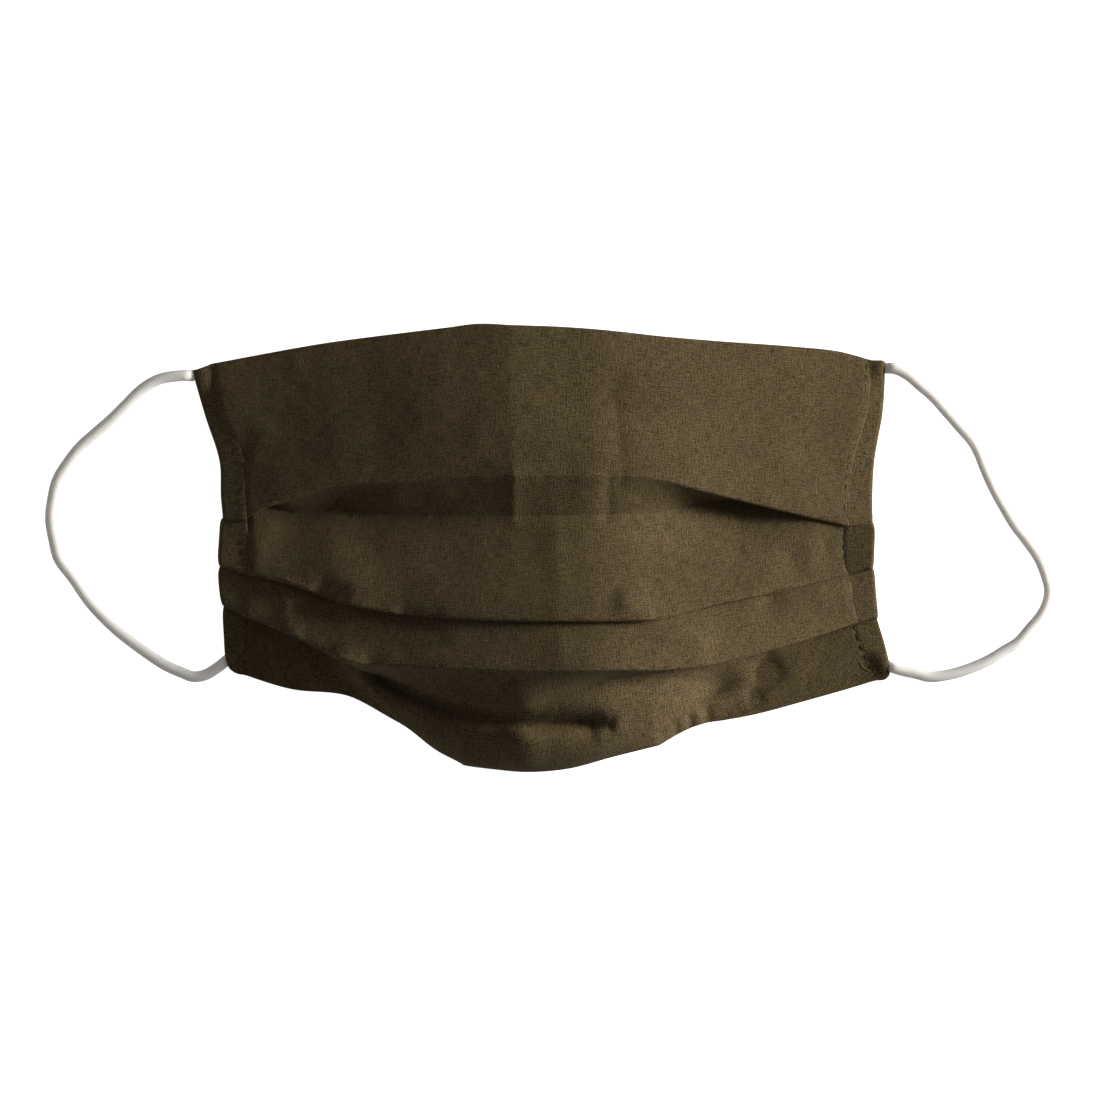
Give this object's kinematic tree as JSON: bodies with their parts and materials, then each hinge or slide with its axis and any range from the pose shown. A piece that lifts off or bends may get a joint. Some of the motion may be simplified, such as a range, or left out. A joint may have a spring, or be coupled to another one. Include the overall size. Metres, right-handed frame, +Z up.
{
  "type": "pleated cloth face mask",
  "caption": "Pleated cotton face mask lying on a surface with its pleats partly open over a low dome, folded side hems and round elastic ear loops laid out beside it.",
  "frame": {"origin": "on the surface that the mask lies on, under the middle of the cloth without its ear loops", "axes": "+X along the pleats, to the right in a view from above with the nose edge up; +Y towards the nose edge; +Z up from the surface, out of the mask's outer side"},
  "size_m": [0.2925, 0.1291, 0.0291],
  "materials": {
    "cotton": "matte plain-weave cotton, dark olive brown",
    "hem_cotton": "matte plain-weave cotton, folded and stitched",
    "elastic": "matte white knitted elastic"
  },
  "bodies": {
    "root": {"pleated_panel": "cotton", "side_hem_left": "hem_cotton", "side_hem_right": "hem_cotton", "ear_loop_left": "elastic", "ear_loop_right": "elastic"}
  },
  "joints": []
}
